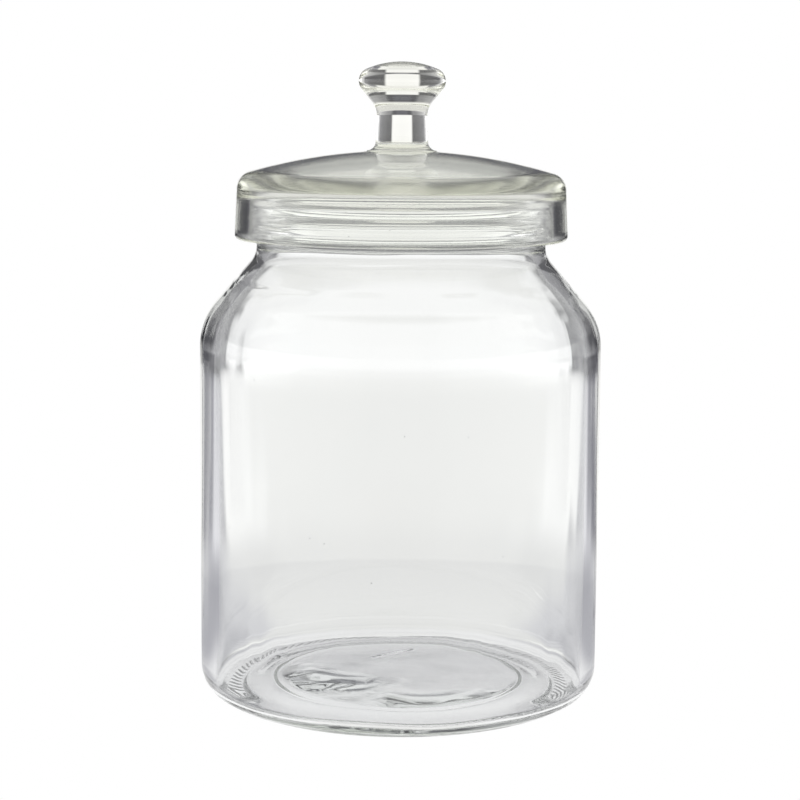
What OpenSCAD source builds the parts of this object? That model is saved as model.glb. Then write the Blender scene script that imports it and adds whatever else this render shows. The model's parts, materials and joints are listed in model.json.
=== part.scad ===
// Glass storage jar with a lift-off glass lid, a round knob and a clear seal.
// All sizes are in millimetres. The origin is at the middle of the base, on the
// surface that the jar stands on, and +Z runs up the jar's axis.

/* [Jar body] */
// Outer diameter of the straight side
body_d = 160; // [150:1:175]
// Thickness of the glass in the side, shoulder and neck
wall = 5.8; // [4.5:0.1:6.5]
// Height where the straight side ends and the shoulder starts
side_top = 142.3; // [80:0.5:220]
// Outer radius of the rounded shoulder
shoulder_r = 26; // [20:0.5:30]
// Slope of the shoulder's cone, in degrees from the vertical
shoulder_tilt = 41; // [38:0.5:46]
// Outer radius of the heel, between the base and the side
heel_r = 13; // [11:0.5:15]
// Inner radius of the heel
inner_heel_r = 3; // [2:0.5:12]

/* [Jar base] */
// Thickness of the floor where it meets the side
floor_t = 6.2; // [6:0.1:10]
// How far the middle of the floor stands above its edge
floor_rise = 3.6; // [1:0.1:5]
// Width of the ring that the jar stands on
bearing_w = 6; // [4:0.5:8]
// Height of the underside's shallow slope, where it meets the recess
arch_h = 1.2; // [0.6:0.1:2]
// Diameter of the round recess in the middle of the underside
recess_d = 98; // [80:1:104]
// Height of the recess above the resting surface
recess_h = 3; // [2.2:0.1:3.6]
// Width of the sloping step round the recess
step_w = 0.9; // [0.8:0.1:2.5]

/* [Neck and mouth] */
// Outer diameter of the neck
neck_d = 115; // [108:0.5:118]
// Radius of the hollow curve between the shoulder and the neck
neck_curve_r = 10; // [7:0.5:12]
// Height of the straight neck
neck_h = 16; // [15:0.25:20]
// Height of the two raised bands round the neck
band_h = 3.7; // [3:0.1:4.4]
// How far those bands stand out from the neck
band_proud = 1.3; // [0.9:0.1:1.6]
// Edge rounding of the bands
band_round = 0.8; // [0.4:0.1:0.9]
// Height of the lower band's middle, above the foot of the neck
low_band_h = 4.5; // [3.5:0.1:5.5]
// Rounding of the mouth's inner edge
rim_round = 1.2; // [0.6:0.1:1.8]

/* [Lid] */
// Gap between the neck and the lower end of the lid's skirt
skirt_gap = 3.4; // [2.6:0.1:4.5]
// Thickness of the skirt at its lower end
skirt_t = 5.3; // [4.5:0.1:6.5]
// How much the skirt's radius shrinks from its lower end to its top
skirt_draft = 0.9; // [0:0.1:1.2]
// How far the skirt hangs below the mouth's rim
skirt_drop = 13.7; // [12:0.1:14]
// Edge rounding of the skirt's lower end
lip_r = 2.2; // [1:0.1:2.4]
// Radius of the curve between the skirt and the dome
corner_r = 7; // [5:0.5:9]
// Radius of the dome's outer surface
dome_r = 215; // [180:5:260]
// Thickness of the dome at its middle
dome_t = 5.7; // [4.5:0.1:6.5]
// Width of the flat seat inside the skirt
seat_w = 6; // [4:0.5:8]
// Height of the dome's crown above the mouth's rim
crown_h = 21.6; // [21:0.1:26]

/* [Knob] */
// Diameter of the knob's head
head_d = 34.4; // [30:0.2:40]
// Radius of the rounded rim of the head
head_round = 5.2; // [4:0.1:6]
// Radius of the head's slightly domed top
head_top_r = 36; // [28:1:60]
// Slope of the head's underside, in degrees from the vertical
head_tilt = 40; // [30:1:50]
// Diameter of the stem at its foot
stem_d = 20.8; // [18:0.2:22]
// Diameter of the stem at its waist, below the head
waist_d = 19.9; // [17:0.1:20]
// Height of the stem, from the dome to the waist
stem_h = 13.7; // [10:0.1:18]
// Radius of the hollow curve below the head
waist_r = 9; // [6:0.5:10]
// Radius of the hollow flare at the foot of the stem
flare_r = 3.4; // [2:0.1:5]

/* [Seal ring] */
// Height of the seal
seal_h = 5.8; // [4.5:0.1:6.5]
// How far the seal reaches in over the mouth
seal_overlap = 1.2; // [0.5:0.1:2]
// Gap between the seal and the skirt around it
seal_gap = 0.35; // [0.3:0.05:0.6]
// Width of the seal's corner chamfers
seal_chamfer = 0.6; // [0.3:0.1:1]

/* [Hidden] */

arc_step = 5;
turn_steps = 120;
jar_glass = [0.80, 0.87, 0.90, 0.5];
lid_glass = [0.80, 0.88, 0.82, 0.5];
knob_glass = [0.88, 0.92, 0.90, 0.6];
clear_seal = [0.90, 0.92, 0.90, 0.8];

body_r = body_d / 2;
neck_r = neck_d / 2;
mouth_r = neck_r - wall;
recess_r = recess_d / 2;
bearing_r = body_r - heel_r;

// The floor's low dome runs in from the inner heel.
floor_edge_r = body_r - wall - inner_heel_r;
floor_curve_r = (pow(floor_edge_r, 2) + pow(floor_rise, 2)) / (2 * floor_rise);
floor_steps = 10;

// The foot of the neck, where the shoulder's cone has run out into the neck curve.
cone_start = [body_r - shoulder_r * (1 - cos(shoulder_tilt)),
              side_top + shoulder_r * sin(shoulder_tilt)];
cone_end_r = neck_r + neck_curve_r * (1 - cos(shoulder_tilt));
cone_rise = (cone_start[0] - cone_end_r) / tan(shoulder_tilt);
neck_foot_z = cone_start[1] + cone_rise + neck_curve_r * sin(shoulder_tilt);
rim_z = neck_foot_z + neck_h;

// The seal lies on the rim, and the lid's seat lies on the seal.
seat_z = rim_z + seal_h;
seal_in_r = mouth_r - seal_overlap;

// The lid's skirt, its corner and its dome share tangent arcs.
skirt_z = rim_z - skirt_drop;
skirt_in_r = neck_r + skirt_gap;
skirt_out_r = skirt_in_r + skirt_t;
skirt_top_r = skirt_out_r - skirt_draft;
skirt_top_in_r = skirt_in_r - skirt_draft;
seal_out_r = skirt_top_in_r - seal_gap;
dome_z = rim_z + crown_h - dome_r;
corner_x = skirt_top_r - corner_r;
corner_z = dome_z + sqrt(pow(dome_r - corner_r, 2) - pow(corner_x, 2));
corner_end = acos(corner_x / (dome_r - corner_r));

// The hollow under the dome is an arc from its crown to the seat's inner edge.
seat_in_r = skirt_top_in_r - seat_w;
hollow_top = rim_z + crown_h - dome_t;
hollow_rise = hollow_top - seat_z;
hollow_r = (pow(seat_in_r, 2) + pow(hollow_rise, 2)) / (2 * hollow_rise);

// The knob stands on a flat pad as wide as its foot.
foot_r = stem_d / 2 + flare_r;
foot_z = dome_z + sqrt(pow(dome_r, 2) - pow(foot_r, 2));
foot_edge = 0.4;
waist_z = foot_z + stem_h;
under_end = [waist_d / 2 + waist_r * (1 - cos(head_tilt)),
             waist_z + waist_r * sin(head_tilt)];
head_x = head_d / 2 - head_round;
head_rise = (head_x + head_round * cos(head_tilt) - under_end[0]) / tan(head_tilt);
head_z = under_end[1] + head_rise + head_round * sin(head_tilt);
head_top_z = head_z - sqrt(pow(head_top_r - head_round, 2) - pow(head_x, 2));
head_end = acos(head_x / (head_top_r - head_round));

// Points along an arc about (x, z), both ends included.
function arc(x, z, r, from, to) =
    let (steps = max(2, ceil(abs(to - from) / arc_step)))
    [for (i = [0:steps]) let (a = from + (to - from) * i / steps) [x + r * cos(a), z + r * sin(a)]];

function backwards(points) = [for (i = [len(points) - 1:-1:0]) points[i]];

// The points but for the first, which the outline before them already holds.
function rest(points) = [for (i = [1:len(points) - 1]) points[i]];

// The shoulder and neck curve, at a given depth inside the outer surface.
function shoulder(depth) = concat(
    arc(body_r - shoulder_r, side_top, shoulder_r - depth, 0, shoulder_tilt),
    arc(neck_r + neck_curve_r, neck_foot_z, neck_curve_r + depth, 180 + shoulder_tilt, 180));

// The underside, from the axis out to the bearing ring.
function underside() = [
    [0, recess_h],
    [recess_r, recess_h],
    [recess_r + step_w, arch_h],
    [bearing_r - bearing_w, 0]];

// A raised band round the neck, centred on z, from below up.
function band(z) =
    let (x = neck_r + band_proud - band_round, side = band_h / 2 - band_round)
    concat(
        [[neck_r, z - band_h / 2]],
        arc(x, z - side, band_round, -90, 0),
        arc(x, z + side, band_round, 0, 90),
        [[neck_r, z + band_h / 2]]);

// The neck, from its foot up over the rim and in.
function neck() = concat(
    band(neck_foot_z + low_band_h),
    band(rim_z - band_h / 2),
    arc(mouth_r + rim_round, rim_z - rim_round, rim_round, 90, 180));

// The floor, as a few points of its arc, from the inner heel to the axis.
function floor_points() =
    [for (i = [1:floor_steps]) let (x = floor_edge_r * (1 - i / floor_steps))
        [x, floor_t + floor_rise - floor_curve_r + sqrt(pow(floor_curve_r, 2) - pow(x, 2))]];

// The inside of the jar, from the neck down and across the floor to the axis.
function inside() = concat(
    backwards(shoulder(wall)),
    arc(floor_edge_r, floor_t + inner_heel_r, inner_heel_r, 0, -90),
    floor_points());

module jar() {
    color(jar_glass)
        rotate_extrude($fn = turn_steps)
            polygon(concat(
                underside(),
                arc(bearing_r, heel_r, heel_r, -90, 0),
                shoulder(0),
                neck(),
                inside()));
}

module seal_ring() {
    color(clear_seal)
        rotate_extrude($fn = turn_steps)
            polygon([
                [seal_in_r + seal_chamfer, rim_z],
                [seal_out_r - seal_chamfer, rim_z],
                [seal_out_r, rim_z + seal_chamfer],
                [seal_out_r, seat_z - seal_chamfer],
                [seal_out_r - seal_chamfer, seat_z],
                [seal_in_r + seal_chamfer, seat_z],
                [seal_in_r, seat_z - seal_chamfer],
                [seal_in_r, rim_z + seal_chamfer]]);
}

module lid() {
    color(lid_glass)
        rotate_extrude($fn = turn_steps)
            polygon(concat(
                arc(skirt_in_r + lip_r, skirt_z + lip_r, lip_r, 180, 270),
                arc(skirt_out_r - lip_r, skirt_z + lip_r, lip_r, -90, 0),
                arc(corner_x, corner_z, corner_r, 0, corner_end),
                rest(arc(0, dome_z, dome_r, corner_end, acos(foot_r / dome_r))),
                [[0, foot_z]],
                arc(0, hollow_top - hollow_r, hollow_r, 90, acos(seat_in_r / hollow_r)),
                [[skirt_top_in_r, seat_z]]));
}

module lid_knob() {
    color(knob_glass)
        rotate_extrude($fn = turn_steps)
            polygon(concat(
                [[0, foot_z], [foot_r, foot_z]],
                arc(foot_r, foot_z + foot_edge + flare_r, flare_r, 270, 180),
                arc(waist_d / 2 + waist_r, waist_z, waist_r, 180, 180 - head_tilt),
                arc(head_x, head_z, head_round, -head_tilt, head_end),
                arc(0, head_top_z, head_top_r, head_end, 90)));
}

jar();
seal_ring();
lid();
lid_knob();
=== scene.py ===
"""A glass storage jar with a lift-off lid, on a pale floor in a soft studio light.

All lengths are in metres, in the frame of the CAD model: the origin is at the middle of
the base, on the floor, and +Z runs up the jar's axis. Every piece is round about Z.
"""

import json
import math
import random

import bmesh
import bpy
from mathutils import Matrix, Vector, noise


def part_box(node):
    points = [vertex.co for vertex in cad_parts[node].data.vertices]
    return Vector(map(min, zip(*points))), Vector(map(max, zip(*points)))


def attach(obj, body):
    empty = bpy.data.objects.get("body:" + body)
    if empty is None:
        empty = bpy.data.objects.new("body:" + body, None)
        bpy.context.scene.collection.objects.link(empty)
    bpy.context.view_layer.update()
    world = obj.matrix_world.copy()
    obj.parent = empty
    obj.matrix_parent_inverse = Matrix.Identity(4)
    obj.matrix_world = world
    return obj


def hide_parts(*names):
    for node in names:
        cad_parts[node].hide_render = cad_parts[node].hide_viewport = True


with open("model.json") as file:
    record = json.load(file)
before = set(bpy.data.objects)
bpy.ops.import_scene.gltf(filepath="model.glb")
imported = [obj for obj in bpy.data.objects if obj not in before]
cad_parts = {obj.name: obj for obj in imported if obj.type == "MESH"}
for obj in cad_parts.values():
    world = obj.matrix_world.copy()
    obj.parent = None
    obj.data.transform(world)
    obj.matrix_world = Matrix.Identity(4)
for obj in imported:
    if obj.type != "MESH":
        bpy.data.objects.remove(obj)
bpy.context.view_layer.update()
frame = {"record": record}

MM = 0.001

# ------------------------------------------------------------------ sizes from the frame

JAR_LOW, JAR_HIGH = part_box("jar")
LID_LOW, LID_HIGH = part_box("lid")
KNOB_LOW, KNOB_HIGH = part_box("lid_knob")
SEAL_LOW, SEAL_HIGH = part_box("seal_ring")


def half_width(low, high):
    """The radius of a round node, from its box."""
    return (high.y - low.y) / 2


BODY_R = half_width(JAR_LOW, JAR_HIGH)
RIM_Z = JAR_HIGH.z
SKIRT_R = half_width(LID_LOW, LID_HIGH)
SKIRT_Z = LID_LOW.z
SEAL_R = half_width(SEAL_LOW, SEAL_HIGH)
SEAT_Z = SEAL_HIGH.z
FOOT_Z = KNOB_LOW.z
HEAD_R = half_width(KNOB_LOW, KNOB_HIGH)
TOP_Z = KNOB_HIGH.z
MOUNTS = {mount["name"]: mount for mount in frame["record"]["mounts"]}
MOUTH_R = MOUNTS["mouth"]["dims"]["r_mm"] * MM

# ------------------------------------------------------------------ the design's own sizes

WALL = 5.8 * MM
NECK_R = MOUTH_R + WALL
HEEL_R = 13 * MM
INNER_HEEL_R = 3 * MM
SHOULDER_R = 26 * MM
SHOULDER_TILT = 41
NECK_CURVE_R = 10 * MM
NECK_H = 16 * MM
NECK_FOOT_Z = RIM_Z - NECK_H
RIM_ROUND = 1.2 * MM
BAND_HALF = 1.85 * MM
BAND_ROUND = 0.8 * MM
BAND_PROUD = 1.3 * MM
LOW_BAND_H = 4.5 * MM

FLOOR_T = 6.2 * MM
FLOOR_RISE = 3.6 * MM
BEARING_R = BODY_R - HEEL_R
BEARING_W = 6 * MM
ARCH_H = 1.2 * MM
RECESS_R = 49 * MM
RECESS_H = 3 * MM
STEP_W = 0.9 * MM

# The short slanted marks under the resting ring. The slant is how far a mark runs round for
# each length it runs out, the half width is a part of the marks' pitch, and a mark's ends
# fade over a part of its half length. Rings within the fine width have more points.
MARKS = 96
MARK_MID_R = 66 * MM
MARK_L = 4.6 * MM
MARK_H = 0.5 * MM
MARK_SLANT = 1.5
MARK_HALF_W = 0.18
MARK_END_PART = 1 / 3
MARK_FADE = 2 * MM
MARK_FINE_W = 0.7 * MARK_L
MARKS_TOP = HEEL_R / 3

SKIRT_T = 5.3 * MM
SKIRT_DRAFT = 0.9 * MM
LIP_R = 2.2 * MM
INNER_LIP_R = 0.8 * MM
CORNER_R = 7 * MM
DOME_R = 215 * MM
DOME_T = 5.7 * MM
CROWN_H = 21.6 * MM
SEAT_W = 6 * MM

STEM_R = 10.4 * MM
WAIST_HALF = 9.95 * MM
STEM_H = 13.7 * MM
WAIST_R = 9 * MM
FLARE_R = 3.4 * MM
FOOT_EDGE = 0.4 * MM
HEAD_ROUND = 5.2 * MM
HEAD_TOP_R = 36 * MM
HEAD_TILT = 40
CLEAR_FADE_H = 8 * MM

SEAL_IN_R = MOUTH_R - 1.2 * MM
SEAL_CHAMFER = 0.6 * MM
SEAL_GAP = 0.05 * MM
SEAT_IN_R = SKIRT_R - SKIRT_T - SKIRT_DRAFT - SEAT_W

# ------------------------------------------------------------------ outlines

# The longest steps along an arc, in degrees, and along a line. Lengths below the last value
# count as none.
ARC_STEP = 3.5
LINE_STEP = 4 * MM
WALL_STEP = 1.5 * MM
COARSE_STEP = 2 * MM
FINE_STEP = 0.5 * MM
FLOOR_RINGS = 60
NO_LENGTH = 1e-7

# The bends in the inside of the wall are eased between these heights, as blown glass is.
SOFT_PASSES = 60
SOFT_FROM_Z = 90 * MM
SOFT_TO_Z = NECK_FOOT_Z + 6 * MM


def arc(x, z, r, start, end, step=ARC_STEP):
    """Points along an arc about (x, z), angles in degrees, both ends included."""
    steps = max(2, math.ceil(abs(end - start) / step))
    angles = [math.radians(start + (end - start) * i / steps) for i in range(steps + 1)]
    return [(x + r * math.cos(a), z + r * math.sin(a)) for a in angles]


def split_lines(points, step=LINE_STEP):
    """The same outline with its long straight stretches cut into short ones."""
    out = [points[0]]
    for (x0, z0), (x1, z1) in zip(points, points[1:]):
        length = math.hypot(x1 - x0, z1 - z0)
        if length < NO_LENGTH:
            continue
        parts = max(1, math.ceil(length / step))
        for i in range(1, parts + 1):
            out.append((x0 + (x1 - x0) * i / parts, z0 + (z1 - z0) * i / parts))
    return out


def ease(t):
    """A smooth rise from 0 to 1 as t goes from 0 to 1."""
    t = min(1, max(0, t))
    return t * t * (3 - 2 * t)


def cos_deg(a):
    return math.cos(math.radians(a))


def sin_deg(a):
    return math.sin(math.radians(a))


def shoulder(depth):
    """The shoulder and the neck curve at a depth inside the outer surface, from the side up."""
    cone_r = NECK_R + NECK_CURVE_R * (1 - cos_deg(SHOULDER_TILT))
    start_r = BODY_R - SHOULDER_R * (1 - cos_deg(SHOULDER_TILT))
    cone_rise = (start_r - cone_r) / math.tan(math.radians(SHOULDER_TILT))
    side_top = NECK_FOOT_Z - cone_rise - (SHOULDER_R + NECK_CURVE_R) * sin_deg(SHOULDER_TILT)
    return (
        arc(BODY_R - SHOULDER_R, side_top, SHOULDER_R - depth, 0, SHOULDER_TILT)
        + arc(NECK_R + NECK_CURVE_R, NECK_FOOT_Z, NECK_CURVE_R + depth, 180 + SHOULDER_TILT, 180)
    )


def band(z):
    """One of the raised bands round the neck, centred on z, from below up."""
    x = NECK_R + BAND_PROUD - BAND_ROUND
    side = BAND_HALF - BAND_ROUND
    return (
        [(NECK_R, z - BAND_HALF)]
        + arc(x, z - side, BAND_ROUND, -90, 0, step=15)
        + arc(x, z + side, BAND_ROUND, 0, 90, step=15)
        + [(NECK_R, z + BAND_HALF)]
    )


def soften(points, passes):
    """The outline with its bends eased, and its ends kept."""
    for _ in range(passes):
        middle = [
            ((a[0] + 2 * b[0] + c[0]) / 4, (a[1] + 2 * b[1] + c[1]) / 4)
            for a, b, c in zip(points, points[1:], points[2:])
        ]
        points = [points[0]] + middle + [points[-1]]
    return points


def underside_height(r):
    """The recess, its rounded step, the shallow arch and the flat ring the jar stands on."""
    step_end = RECESS_R + STEP_W
    arch_end = BEARING_R - BEARING_W
    if r < step_end:
        return ARCH_H + (RECESS_H - ARCH_H) * (1 - ease((r - RECESS_R) / STEP_W))
    return ARCH_H * (1 - ease((r - step_end) / (arch_end - step_end)))


def jar_underside():
    """From the axis under the base, out to the foot of the heel."""
    coarse = [COARSE_STEP * i for i in range(int(RECESS_R / COARSE_STEP))]
    fine_start = coarse[-1] + FINE_STEP
    count = round((BEARING_R - fine_start) / FINE_STEP)
    fine = [fine_start + (BEARING_R - fine_start) * i / count for i in range(count)]
    return [(r, underside_height(r)) for r in coarse + fine]


def jar_outside():
    """From the axis under the base, out and up to the top of the rim."""
    return jar_underside() + split_lines(
        arc(BEARING_R, HEEL_R, HEEL_R, -90, 0, step=2)
        + shoulder(0)
        + band(NECK_FOOT_Z + LOW_BAND_H)
        + band(RIM_Z - BAND_HALF)
    )


def jar_inside():
    """From the top of the rim, down the inside and across the floor to the axis."""
    edge_r = BODY_R - WALL - INNER_HEEL_R
    curve_r = (edge_r**2 + FLOOR_RISE**2) / (2 * FLOOR_RISE)
    low = FLOOR_T + FLOOR_RISE - curve_r
    rings = [edge_r * (1 - i / FLOOR_RINGS) for i in range(1, FLOOR_RINGS + 1)]
    rim = arc(MOUTH_R + RIM_ROUND, RIM_Z - RIM_ROUND, RIM_ROUND, 90, 180, step=15)
    floor = [(r, low + math.sqrt(curve_r**2 - r**2)) for r in rings]
    heel = arc(edge_r, FLOOR_T + INNER_HEEL_R, INNER_HEEL_R, 0, -90)
    wall = split_lines(
        [(MOUTH_R, SOFT_TO_Z)] + shoulder(WALL)[::-1] + [(BODY_R - WALL, SOFT_FROM_Z)],
        WALL_STEP,
    )
    return split_lines(rim + soften(wall, SOFT_PASSES) + heel) + floor


def lid_outside():
    """From the lip of the skirt, up and over the dome and the knob, to the top of the head."""
    top_r = SKIRT_R - SKIRT_DRAFT
    dome_z = RIM_Z + CROWN_H - DOME_R
    corner_x = top_r - CORNER_R
    corner_z = dome_z + math.sqrt((DOME_R - CORNER_R) ** 2 - corner_x**2)
    corner_end = math.degrees(math.acos(corner_x / (DOME_R - CORNER_R)))
    foot_r = STEM_R + FLARE_R
    foot_end = math.degrees(math.acos(foot_r / DOME_R))
    return split_lines(
        arc(SKIRT_R - LIP_R, SKIRT_Z + LIP_R, LIP_R, -90, 0, step=10)
        + arc(corner_x, corner_z, CORNER_R, 0, corner_end)
        + arc(0, dome_z, DOME_R, corner_end, foot_end, step=0.5)
        + knob_outside()
    )


def knob_outside():
    """From the edge of the knob's foot, up the stem and over the head, to the axis."""
    waist_z = FOOT_Z + STEM_H
    under_x = WAIST_HALF + WAIST_R * (1 - cos_deg(HEAD_TILT))
    under_z = waist_z + WAIST_R * sin_deg(HEAD_TILT)
    head_x = HEAD_R - HEAD_ROUND
    rise = (head_x + HEAD_ROUND * cos_deg(HEAD_TILT) - under_x) / math.tan(math.radians(HEAD_TILT))
    head_z = under_z + rise + HEAD_ROUND * sin_deg(HEAD_TILT)
    top_z = head_z - math.sqrt((HEAD_TOP_R - HEAD_ROUND) ** 2 - head_x**2)
    head_end = math.degrees(math.acos(head_x / (HEAD_TOP_R - HEAD_ROUND)))
    return (
        arc(STEM_R + FLARE_R, FOOT_Z + FOOT_EDGE + FLARE_R, FLARE_R, 270, 180, step=8)
        + arc(WAIST_HALF + WAIST_R, waist_z, WAIST_R, 180, 180 - HEAD_TILT)
        + arc(head_x, head_z, HEAD_ROUND, -HEAD_TILT, head_end)
        + arc(0, top_z, HEAD_TOP_R, head_end, 90)
    )


def lid_inside():
    """From the axis under the dome, out to the seat and down the skirt to the lip."""
    hollow_top = RIM_Z + CROWN_H - DOME_T
    rise = hollow_top - SEAT_Z
    hollow_r = (SEAT_IN_R**2 + rise**2) / (2 * rise)
    skirt_in_r = SKIRT_R - SKIRT_T
    lip_x = skirt_in_r + INNER_LIP_R
    seat_end = math.degrees(math.acos(SEAT_IN_R / hollow_r))
    return split_lines(
        arc(0, hollow_top - hollow_r, hollow_r, 90, seat_end, step=0.6)
        + [(skirt_in_r - SKIRT_DRAFT, SEAT_Z)]
        + arc(lip_x, SKIRT_Z + INNER_LIP_R, INNER_LIP_R, 180, 270, step=15)
    )


# ------------------------------------------------------------------ turned meshes

TURNS = 216
MARK_TURNS = 4 * TURNS


def at(r, angle, z):
    """The place at a radius, an angle round the axis and a height."""
    return (r * math.cos(angle), r * math.sin(angle), z)


def ring_faces(low, high):
    """The faces between two rings, where one may be a single point or hold a multiple of the
    other's points."""
    fewest = min(len(low), len(high))
    count = fewest if fewest > 1 else max(len(low), len(high))
    faces = []
    for k in range(count):
        sides = []
        for ring in (low, high):
            if len(ring) == 1:
                sides.append([ring[0]])
                continue
            per = len(ring) // count
            sides.append([ring[(k * per + j) % len(ring)] for j in range(per + 1)])
        faces.append(sides[0] + sides[1][::-1])
    return faces


def turn(name, outline, closed=False, shape=None, turns=None):
    """A mesh turned about Z from an outline of (radius, height). shape(r, z, angle, i) may move
    each point, and turns(i) says how many points ring i has. A point on the axis closes the end."""
    verts = []
    rings = []
    for i, (r, z) in enumerate(outline):
        count = 1 if r < NO_LENGTH else (turns(i) if turns else TURNS)
        rings.append(list(range(len(verts), len(verts) + count)))
        for k in range(count):
            angle = 2 * math.pi * k / count
            verts.append(shape(r, z, angle, i) if shape else at(r, angle, z))
    pairs = list(zip(rings, rings[1:]))
    if closed:
        pairs.append((rings[-1], rings[0]))
    faces = [face for low, high in pairs for face in ring_faces(low, high)]
    mesh = bpy.data.meshes.new(name)
    mesh.from_pydata(verts, [], faces)
    mesh.shade_smooth()
    return mesh


def add_bubbles(mesh, places):
    """Tiny round bubbles in the glass: places holds (centre, radius, stretch) for each."""
    work = bmesh.new()
    work.from_mesh(mesh)
    for centre, r, stretch in places:
        sized = Matrix.Translation(centre) @ Matrix.Diagonal((r, r, r * stretch, 1))
        made = bmesh.ops.create_icosphere(work, subdivisions=1, radius=1, matrix=sized)
        inner = {face for vert in made["verts"] for face in vert.link_faces}
        bmesh.ops.reverse_faces(work, faces=list(inner))
        for face in inner:
            face.smooth = True
    work.to_mesh(mesh)
    work.free()


def add_piece(name, mesh, material):
    mesh.materials.append(material)
    piece = bpy.data.objects.new(name, mesh)
    bpy.context.scene.collection.objects.link(piece)
    return piece


def set_dull(mesh, dullness):
    """Stores how dull the surface is at each point, from 0 to 1, from dullness(vert)."""
    layer = mesh.attributes.new("dull", "FLOAT", "POINT")
    for vert in mesh.vertices:
        layer.data[vert.index].value = dullness(vert)


# ------------------------------------------------------------------ waves and marks in the glass

# Each wave has a number of swells per metre, a seed and a height in mm. The wall's waves
# start with two numbers: swells per radius for the way round, and per metre for the way up.
WALL_WAVES = ((1.4, 6, 1, 0.25), (7, 7, 2, 0.12), (24, 5, 8, 0.06))
FLOOR_WAVES = ((26, 3, 0.7), (70, 4, 0.16))
RECESS_WAVES = ((17, 5, 0.85),)
DOME_WAVES = ((24, 6, 0.06),)
SEED_SHIFT = (17.3, -9.1, 4.7)

WALL_FADE_LOW = 16 * MM
WALL_FADE_LOW_H = 20 * MM
WALL_FADE_HIGH_H = 30 * MM
FLOOR_FADE_H = 12 * MM
RECESS_FADE_FROM = 12 * MM
RECESS_FADE_W = 25 * MM
RECESS_EDGE_W = 4 * MM
DOME_FADE_W = 10 * MM
DULL_DROP = 4 * MM

CREASE_START = Vector((-10.6 * MM, 16 * MM))
CREASE_END = Vector((6.4 * MM, 31 * MM))
CREASE_HALF_W = 1.1 * MM
CREASE_DEPTH = 0.5 * MM


def wave(x, y, z, seed):
    """Smooth noise from -1 to 1, at the scale of its arguments."""
    place = [part + shift * seed for part, shift in zip((x, y, z), SEED_SHIFT)]
    return noise.noise(Vector(place))


def flat_waves(x, y, waves):
    """How far a set of waves lifts a level surface at a place."""
    return sum(wave(x * scale, y * scale, 0, seed) * height for scale, seed, height in waves) * MM


def wavy_wall(r, z, angle):
    """How far the inside of the wall stands off its even line: long upright streaks."""
    c, s = math.cos(angle), math.sin(angle)
    out = sum(wave(c * turns, s * turns, z * rise, seed) * h for turns, rise, seed, h in WALL_WAVES)
    high = ease((NECK_FOOT_Z - z) / WALL_FADE_HIGH_H)
    low = ease((z - WALL_FADE_LOW) / WALL_FADE_LOW_H)
    return out * MM * high * low


def wavy_recess(x, y, r):
    """How far the underside of the recess stands off its flat, fading to its middle and edge."""
    middle = ease((r - RECESS_FADE_FROM) / RECESS_FADE_W)
    edge = ease((RECESS_R + STEP_W - r) / RECESS_EDGE_W)
    return flat_waves(x, y, RECESS_WAVES) * middle * edge


def crease(x, y):
    """The narrow fold in the floor, as a depth."""
    along = CREASE_END - CREASE_START
    place = Vector((x, y)) - CREASE_START
    t = place.dot(along) / along.length_squared
    near = (place - along * min(1, max(0, t))).length
    return CREASE_DEPTH * ease(1 - near / CREASE_HALF_W)


def mark_height(r, angle):
    """0 to 1: how far the short slanted marks round the base stand out at a point."""
    across = abs(r - MARK_MID_R) / (MARK_L / 2)
    pitch = 2 * math.pi * MARK_MID_R / MARKS
    place = angle * MARKS / (2 * math.pi) + MARK_SLANT * (r - MARK_MID_R) / pitch
    near = abs(place - round(place)) / MARK_HALF_W
    return ease(1 - near) * ease((1 - across) / MARK_END_PART)


def mark_dullness(vert):
    """The marks are dull, and the rest of the jar is clear."""
    x, y, z = vert.co
    if z > MARKS_TOP:
        return 0
    return mark_height(math.hypot(x, y), math.atan2(y, x))


def jar_shape(outside_count):
    """Leaves the outside as it is, but for the base, and moves the inside a little."""

    def move_base(r, z, angle):
        x, y, _ = at(r, angle, z)
        if r < RECESS_R + STEP_W:
            return (x, y, z + wavy_recess(x, y, r))
        inner = ease((r - BEARING_R + BEARING_W) / MARK_FADE)
        outer = ease((MARKS_TOP - z) / MARK_FADE)
        return (x, y, z + MARK_H * inner * outer * (1 - mark_height(r, angle)))

    def move(r, z, angle, i):
        x, y, _ = at(r, angle, z)
        if i < outside_count:
            return move_base(r, z, angle) if z <= MARKS_TOP else (x, y, z)
        if z > NECK_FOOT_Z:
            return (x, y, z)
        lift = flat_waves(x, y, FLOOR_WAVES)
        if r > BODY_R - WALL - HEEL_R:
            floor_part = ease((FLOOR_T + FLOOR_FADE_H - z) / FLOOR_FADE_H)
            return at(r + wavy_wall(r, z, angle), angle, z + lift * floor_part)
        return (x, y, z + lift - crease(x, y))

    return move


def lid_dullness(inside_points):
    """The hollow of the dome and the top of the skirt's inside are dull, and the rest is clear."""

    def dullness(vert):
        return float(vert.index < inside_points and vert.co.z > SEAT_Z - DULL_DROP)

    return dullness


def lid_shape(inside_count):
    """Moves the hollow under the dome a little, and leaves the rest."""

    def move(r, z, angle, i):
        x, y, _ = at(r, angle, z)
        if i < inside_count and r < SEAT_IN_R:
            return (x, y, z + flat_waves(x, y, DOME_WAVES) * ease((SEAT_IN_R - r) / DOME_FADE_W))
        return (x, y, z)

    return move


# ------------------------------------------------------------------ materials


def math_node(nodes, links, operation, *values):
    """A maths node's result, from sockets and numbers."""
    node = nodes.new("ShaderNodeMath")
    node.operation = operation
    for slot, value in zip(node.inputs, values):
        if isinstance(value, (int, float)):
            slot.default_value = value
        else:
            links.new(value, slot)
    return node.outputs["Value"]


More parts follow.
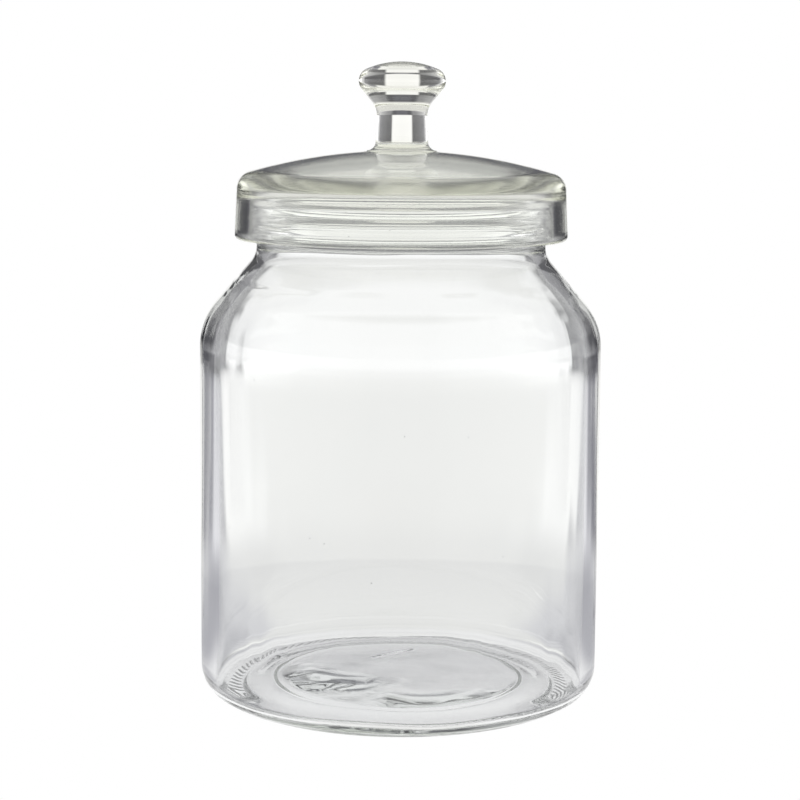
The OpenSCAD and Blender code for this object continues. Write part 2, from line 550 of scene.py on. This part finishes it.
def smooth_between(nodes, links, value, low, high):
    """An eased 0 to 1 as a value goes from low to high."""
    node = nodes.new("ShaderNodeMapRange")
    node.interpolation_type = "SMOOTHSTEP"
    node.inputs["From Min"].default_value = low
    node.inputs["From Max"].default_value = high
    links.new(value, node.inputs["Value"])
    return node.outputs["Result"]


def mix_colors(nodes, links, factor, low, high, blend="MIX"):
    """The mix of two colours. The factor and the colours may be sockets or plain values."""
    mix = nodes.new("ShaderNodeMix")
    mix.data_type = "RGBA"
    mix.blend_type = blend
    for slot, value in (("Factor", factor), ("A", low), ("B", high)):
        if isinstance(value, (tuple, int)):
            mix.inputs[slot].default_value = value
        else:
            links.new(value, mix.inputs[slot])
    return mix.outputs["Result"]


STREAK_SCALE = 22
STREAK_DETAIL = 3
STREAK_TINT = 1.015
HAZE_FROM = 0.45
HAZE_FULL_AT = 0.8


def streaky_tint(nodes, links, streaks, tint):
    """The tint, a trace paler in streaks."""
    pale = [min(1, part * STREAK_TINT) for part in tint]
    return mix_colors(nodes, links, streaks, (*tint, 1), (*pale, 1))


def streaky_haze(nodes, links, streaks, haze):
    """A roughness of 0 that climbs to the haze where the streaks are strongest."""
    rough = nodes.new("ShaderNodeMapRange")
    rough.inputs["From Min"].default_value = HAZE_FROM
    rough.inputs["From Max"].default_value = HAZE_FULL_AT
    rough.inputs["To Max"].default_value = haze
    links.new(streaks, rough.inputs["Value"])
    return rough.outputs["Result"]


def glass(name, tint, haze, body, density, ior=1.51, upper=None, dull=None):
    """Clear glass with a faint streaky tint, a trace of haze, and a body colour that deepens
    with its thickness. upper is a (tint, from height, to height) for the part above, and dull
    is a (roughness, tint) for where the mesh's "dull" values are 1."""
    material = bpy.data.materials.new(name)
    material.use_nodes = True
    nodes, links = material.node_tree.nodes, material.node_tree.links
    shader = nodes["Principled BSDF"]
    shader.inputs["Transmission Weight"].default_value = 1.0
    shader.inputs["IOR"].default_value = ior
    place = nodes.new("ShaderNodeTexCoord").outputs["Object"]
    noise_node = nodes.new("ShaderNodeTexNoise")
    noise_node.inputs["Scale"].default_value = STREAK_SCALE
    noise_node.inputs["Detail"].default_value = STREAK_DETAIL
    links.new(place, noise_node.inputs["Vector"])
    streaks = noise_node.outputs["Fac"]
    color = streaky_tint(nodes, links, streaks, tint)
    roughness = streaky_haze(nodes, links, streaks, haze)
    if upper:
        upper_tint, low, high = upper
        split = nodes.new("ShaderNodeSeparateXYZ")
        links.new(place, split.inputs["Vector"])
        climb = smooth_between(nodes, links, split.outputs["Z"], low, high)
        color = mix_colors(nodes, links, climb, color, (*upper_tint, 1))
    if dull:
        dull_roughness, dull_tint = dull
        amount = nodes.new("ShaderNodeAttribute")
        amount.attribute_name = "dull"
        color = mix_colors(nodes, links, amount.outputs["Fac"], color, (*dull_tint, 1))
        spread = math_node(nodes, links, "MULTIPLY", amount.outputs["Fac"], dull_roughness)
        roughness = math_node(nodes, links, "MAXIMUM", roughness, spread)
    links.new(color, shader.inputs["Base Color"])
    links.new(roughness, shader.inputs["Roughness"])
    depth = nodes.new("ShaderNodeVolumeAbsorption")
    depth.inputs["Color"].default_value = (*body, 1)
    depth.inputs["Density"].default_value = density
    links.new(depth.outputs["Volume"], nodes["Material Output"].inputs["Volume"])
    return material


def jar_glass():
    """Almost colourless glass, dull on the marks under its resting ring."""
    return glass(
        "jar_glass",
        tint=(0.985, 0.992, 0.995),
        haze=0.02,
        body=(0.88, 0.93, 0.89),
        density=3,
        dull=(0.4, (0.62, 0.64, 0.64)),
    )


def lid_glass():
    """Faintly olive glass, clearer in the knob and slightly dull in the hollow of the dome."""
    return glass(
        "lid_glass",
        tint=(0.975, 0.982, 0.955),
        haze=0.02,
        body=(0.92, 0.935, 0.76),
        density=6,
        upper=((0.985, 0.98, 0.97), FOOT_Z, FOOT_Z + CLEAR_FADE_H),
        dull=(0.11, (0.985, 0.99, 0.965)),
    )


def seal_silicone():
    """Clear soft silicone, hazier than glass and bending light less."""
    return glass(
        "seal_clear",
        tint=(0.99, 0.99, 0.985),
        haze=0.12,
        body=(0.95, 0.95, 0.93),
        density=6,
        ior=1.43,
    )


# ------------------------------------------------------------------ pieces

# Heights and radii of the small bubbles are ranges in mm. A lid bubble's depth is a part of
# the skirt's thickness.
FLOOR_BUBBLE_AT = (-14.5 * MM, 36 * MM, 7 * MM)
FLOOR_BUBBLE_R = 0.5 * MM
WALL_BUBBLES = 14
WALL_BUBBLE_SEED = 7
WALL_BUBBLE_Z = (30, 140)
WALL_BUBBLE_R = (0.12, 0.28)
WALL_BUBBLE_STRETCH = (1, 2.4)
LID_BUBBLES = 60
LID_BUBBLE_SEED = 11
LID_BUBBLE_DEPTH = (0.3, 0.7)
LID_BUBBLE_Z = (188, 203)
LID_BUBBLE_R = (0.1, 0.22)


def jar_bubbles():
    """One large bubble in the floor, and a few small ones drawn out upward in the wall."""
    chance = random.Random(WALL_BUBBLE_SEED)
    places = [(FLOOR_BUBBLE_AT, FLOOR_BUBBLE_R, 1)]
    for _ in range(WALL_BUBBLES):
        angle = chance.uniform(0, 2 * math.pi)
        place = at(BODY_R - WALL / 2, angle, chance.uniform(*WALL_BUBBLE_Z) * MM)
        r = chance.uniform(*WALL_BUBBLE_R) * MM
        places.append((place, r, chance.uniform(*WALL_BUBBLE_STRETCH)))
    return places


def lid_bubbles():
    """Many fine bubbles in the skirt."""
    chance = random.Random(LID_BUBBLE_SEED)
    places = []
    for _ in range(LID_BUBBLES):
        angle = chance.uniform(0, 2 * math.pi)
        from_axis = SKIRT_R - SKIRT_T * chance.uniform(*LID_BUBBLE_DEPTH)
        place = at(from_axis, angle, chance.uniform(*LID_BUBBLE_Z) * MM)
        places.append((place, chance.uniform(*LID_BUBBLE_R) * MM, 1))
    return places


def build_jar():
    outside = jar_outside()
    outline = outside + jar_inside()

    def turns(i):
        """The rings that carry the marks have more points round."""
        r, z = outline[i]
        marked = i < len(outside) and z < MARKS_TOP and abs(r - MARK_MID_R) < MARK_FINE_W
        return MARK_TURNS if marked else TURNS

    mesh = turn("jar_glass", outline, shape=jar_shape(len(outside)), turns=turns)
    set_dull(mesh, mark_dullness)
    add_bubbles(mesh, jar_bubbles())
    piece = add_piece("jar_glass", mesh, jar_glass())
    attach(piece, "jar")
    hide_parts("jar")


def build_lid():
    """The lid and its knob are one fused piece of glass, so one mesh stands for both nodes."""
    inside = lid_inside()
    mesh = turn("lid_with_knob", inside + lid_outside(), shape=lid_shape(len(inside)))
    inside_points = sum(1 if r < NO_LENGTH else TURNS for r, _ in inside)
    set_dull(mesh, lid_dullness(inside_points))
    add_bubbles(mesh, lid_bubbles())
    piece = add_piece("lid_with_knob", mesh, lid_glass())
    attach(piece, "lid")
    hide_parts("lid", "lid_knob")


def build_seal():
    """The soft ring, a hair lower than its space, so its faces and the glass's never meet."""
    low, high = SEAL_LOW.z + SEAL_GAP, SEAL_HIGH.z - SEAL_GAP
    outline = [
        (SEAL_R - SEAL_CHAMFER, low),
        (SEAL_R, low + SEAL_CHAMFER),
        (SEAL_R, high - SEAL_CHAMFER),
        (SEAL_R - SEAL_CHAMFER, high),
        (SEAL_IN_R + SEAL_CHAMFER, high),
        (SEAL_IN_R, high - SEAL_CHAMFER),
        (SEAL_IN_R, low + SEAL_CHAMFER),
        (SEAL_IN_R + SEAL_CHAMFER, low),
    ]
    mesh = turn("seal_clear", outline, closed=True)
    piece = add_piece("seal_clear", mesh, seal_silicone())
    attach(piece, "seal")
    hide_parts("seal_ring")


# ------------------------------------------------------------------ the studio

CAMERA_DISTANCE = 0.829
CAMERA_HEIGHT = 0.232
CAMERA_PITCH = 7.73
CAMERA_ROLL = 0.42
CAMERA_LENS = 93.6

FLOOR_R = 30.0
FLOOR_CORNERS = 128
FLOOR_DROP = 0.2 * MM
# The radius of the table edge that is painted into the floor's glow.
PAINTED_TABLE_EDGE_R = 0.26

# What the glass picks up round it, by the angle from straight behind the object: a backdrop
# between two dark flags, a soft light at each side, and a fill in front. Low is at the level
# of the object, and high is over the lights.
LIGHTS_LOW = (
    (0, (0.98, 0.98, 0.97)),
    (14, (1.0, 1.0, 0.99)),
    (17.5, (0.09, 0.09, 0.095)),
    (46, (0.08, 0.08, 0.09)),
    (55, (0.70, 0.70, 0.73)),
    (68, (2.2, 2.2, 2.2)),
    (95, (2.2, 2.2, 2.2)),
    (120, (1.6, 1.6, 1.6)),
    (180, (1.3, 1.3, 1.3)),
)
LIGHTS_HIGH = (
    (0, (0.09, 0.09, 0.11)),
    (6, (0.09, 0.09, 0.11)),
    (12, (0.05, 0.05, 0.06)),
    (20, (0.24, 0.24, 0.25)),
    (40, (0.40, 0.40, 0.41)),
    (60, (0.60, 0.60, 0.62)),
    (90, (0.55, 0.55, 0.57)),
    (130, (0.70, 0.70, 0.71)),
    (180, (0.90, 0.90, 0.90)),
)

# The angles above level, in degrees, between which one kind of light gives way to the next.
LOW_UP_TO = 3.5
HIGH_FROM = 7
OVERHEAD_FROM = 24
OVERHEAD_AT = 34
OVERHEAD = (0.72, 0.72, 0.70)

# The floor's painted light and shade in rings round the object, by the same angle, and the
# distances from the axis between which each ring gives way to the next. The floor glows with these,
# and their dark bands are painted shade.
FLOOR_NEAR = (
    (0, (0.79, 0.79, 0.775)),
    (24, (0.79, 0.79, 0.775)),
    (36, (0.62, 0.62, 0.64)),
    (48, (0.44, 0.44, 0.47)),
    (66, (0.44, 0.44, 0.47)),
    (85, (0.85, 0.85, 0.86)),
    (145, (0.95, 0.95, 0.95)),
    (165, (0.84, 0.84, 0.83)),
    (180, (0.82, 0.82, 0.81)),
)
FLOOR_CLOSE = (
    (0, (0.84, 0.84, 0.84)),
    (60, (0.84, 0.84, 0.84)),
    (85, (1.02, 1.02, 1.02)),
    (145, (1.00, 1.00, 1.00)),
    (165, (0.84, 0.84, 0.83)),
    (180, (0.82, 0.82, 0.81)),
)
FLOOR_MID = (
    (0, (0.84, 0.84, 0.82)),
    (12, (0.85, 0.85, 0.83)),
    (20, (1.0, 1.0, 0.98)),
    (25, (1.0, 1.0, 0.98)),
    (30, (0.20, 0.20, 0.23)),
    (38, (0.22, 0.22, 0.25)),
    (50, (0.80, 0.80, 0.83)),
    (75, (1.1, 1.1, 1.1)),
    (180, (1.0, 1.0, 1.0)),
)
FLOOR_UNDER = (0.95, 0.95, 0.95)
UNDER_TO_CLOSE = (0.055, 0.075)
CLOSE_TO_NEAR = (0.085, 0.12)
NEAR_TO_MID = (0.265, 0.40)
MID_TO_FAR = (0.9, 2.2)

# A table edge is painted into the floor's glow: painted shade makes the floor a little darker
# toward the edge, as parts of the painted table's radius, and a painted bright line comes back at
# the edge itself.
TABLE_EDGE_SHADE_STOPS = ((0.55, (1, 1, 1)), (0.97, (0.93, 0.93, 0.935)), (0.9999, (1, 1, 1)))


def color_ramp(nodes, links, value, stops, full, interpolation):
    """The colour for a value from 0 to 1, from stops of (place, colour) on a scale up to full."""
    ramp = nodes.new("ShaderNodeValToRGB")
    ramp.color_ramp.interpolation = interpolation
    elements = ramp.color_ramp.elements
    for element, (place, color) in zip(elements, (stops[0], stops[-1])):
        element.position = place / full
        element.color = (*color, 1)
    for place, color in stops[1:-1]:
        elements.new(place / full).color = (*color, 1)
    links.new(value, ramp.inputs["Fac"])
    return ramp.outputs["Color"]


def angle_ramp(nodes, links, angle, stops):
    """The colour for an angle, with its stops in degrees from 0 to 180, eased between them."""
    return color_ramp(nodes, links, angle, stops, 180, "EASE")


def behind_angle(nodes, links, split):
    """The angle from straight behind the object, on either side, as 0 to 1 for 0 to 180 degrees."""
    turned = math_node(nodes, links, "ARCTAN2", split.outputs["X"], split.outputs["Y"])
    return math_node(nodes, links, "DIVIDE", math_node(nodes, links, "ABSOLUTE", turned), math.pi)


def white_to_camera(nodes, links, color):
    """White for the camera's own view, and the colour for what the glass picks up."""
    path = nodes.new("ShaderNodeLightPath")
    return mix_colors(nodes, links, path.outputs["Is Camera Ray"], color, (1, 1, 1, 1))


def build_world():
    """White behind everything for the camera, and the studio's lights for the glass."""
    world = bpy.data.worlds.new("studio")
    bpy.context.scene.world = world
    world.use_nodes = True
    nodes, links = world.node_tree.nodes, world.node_tree.links
    split = nodes.new("ShaderNodeSeparateXYZ")
    links.new(nodes.new("ShaderNodeTexCoord").outputs["Generated"], split.inputs["Vector"])
    angle = behind_angle(nodes, links, split)
    low = angle_ramp(nodes, links, angle, LIGHTS_LOW)
    high = angle_ramp(nodes, links, angle, LIGHTS_HIGH)
    up = split.outputs["Z"]
    climb = smooth_between(nodes, links, up, sin_deg(LOW_UP_TO), sin_deg(HIGH_FROM))
    lights = mix_colors(nodes, links, climb, low, high)
    climb = smooth_between(nodes, links, up, sin_deg(OVERHEAD_FROM), sin_deg(OVERHEAD_AT))
    lights = mix_colors(nodes, links, climb, lights, (*OVERHEAD, 1))
    links.new(white_to_camera(nodes, links, lights), nodes["Background"].inputs["Color"])


def floor_light(nodes, links):
    """The floor's glow as the glass sees it: rings of painted light and shade round the object, a
    painted table edge, and a painted copy of the level lights beyond."""
    place = nodes.new("ShaderNodeTexCoord").outputs["Object"]
    split = nodes.new("ShaderNodeSeparateXYZ")
    links.new(place, split.inputs["Vector"])
    angle = behind_angle(nodes, links, split)
    length = nodes.new("ShaderNodeVectorMath")
    length.operation = "LENGTH"
    links.new(place, length.inputs[0])
    out = length.outputs["Value"]
    # Each ring is painted light and shade in the floor's glow, not light falling on it.
    lit = (*FLOOR_UNDER, 1)
    for limits, stops in (
        (UNDER_TO_CLOSE, FLOOR_CLOSE),
        (CLOSE_TO_NEAR, FLOOR_NEAR),
        (NEAR_TO_MID, FLOOR_MID),
        (MID_TO_FAR, LIGHTS_LOW),
    ):
        beyond = angle_ramp(nodes, links, angle, stops)
        lit = mix_colors(nodes, links, smooth_between(nodes, links, out, *limits), lit, beyond)
    # Painted shade toward the table edge and a painted bright line at it, multiplied into the glow.
    table_part = math_node(nodes, links, "DIVIDE", out, PAINTED_TABLE_EDGE_R)
    edge = color_ramp(nodes, links, table_part, TABLE_EDGE_SHADE_STOPS, 1, "LINEAR")
    return mix_colors(nodes, links, 1, lit, edge, "MULTIPLY")


def build_floor():
    """A pale floor that runs back to the horizon, white to the camera. It is no lamp, but it glows
    with painted light and shade for the glass.
    """
    mesh = bpy.data.meshes.new("floor")
    turn_step = 2 * math.pi / FLOOR_CORNERS
    ring = [at(FLOOR_R, turn_step * k, -FLOOR_DROP) for k in range(FLOOR_CORNERS)]
    mesh.from_pydata(ring, [], [list(range(FLOOR_CORNERS))])
    obj = bpy.data.objects.new("floor", mesh)
    bpy.context.scene.collection.objects.link(obj)
    material = bpy.data.materials.new("floor")
    material.use_nodes = True
    nodes, links = material.node_tree.nodes, material.node_tree.links
    nodes.clear()
    # The floor's light is painted: it glows, and is not lit.
    glow = nodes.new("ShaderNodeEmission")
    surface = nodes.new("ShaderNodeOutputMaterial")
    seen = white_to_camera(nodes, links, floor_light(nodes, links))
    links.new(seen, glow.inputs["Color"])
    links.new(glow.outputs["Emission"], surface.inputs["Surface"])
    mesh.materials.append(material)


def build_camera():
    camera = bpy.data.objects.new("camera", bpy.data.cameras.new("camera"))
    bpy.context.scene.collection.objects.link(camera)
    camera.data.lens = CAMERA_LENS
    camera.matrix_world = (
        Matrix.Translation((0, -CAMERA_DISTANCE, CAMERA_HEIGHT))
        @ Matrix.Rotation(math.radians(90 - CAMERA_PITCH), 4, "X")
        @ Matrix.Rotation(math.radians(CAMERA_ROLL), 4, "Z")
    )
    bpy.context.scene.camera = camera


build_camera()
build_world()
build_floor()
build_jar()
build_lid()
build_seal()

# Light needs many bounces to get through the lid, the seal and both walls of the jar.
GLASS_BOUNCES = 32

scene = bpy.context.scene
scene.view_settings.view_transform = "Standard"
scene.cycles.max_bounces = GLASS_BOUNCES
scene.cycles.transmission_bounces = GLASS_BOUNCES
scene.cycles.glossy_bounces = GLASS_BOUNCES // 2
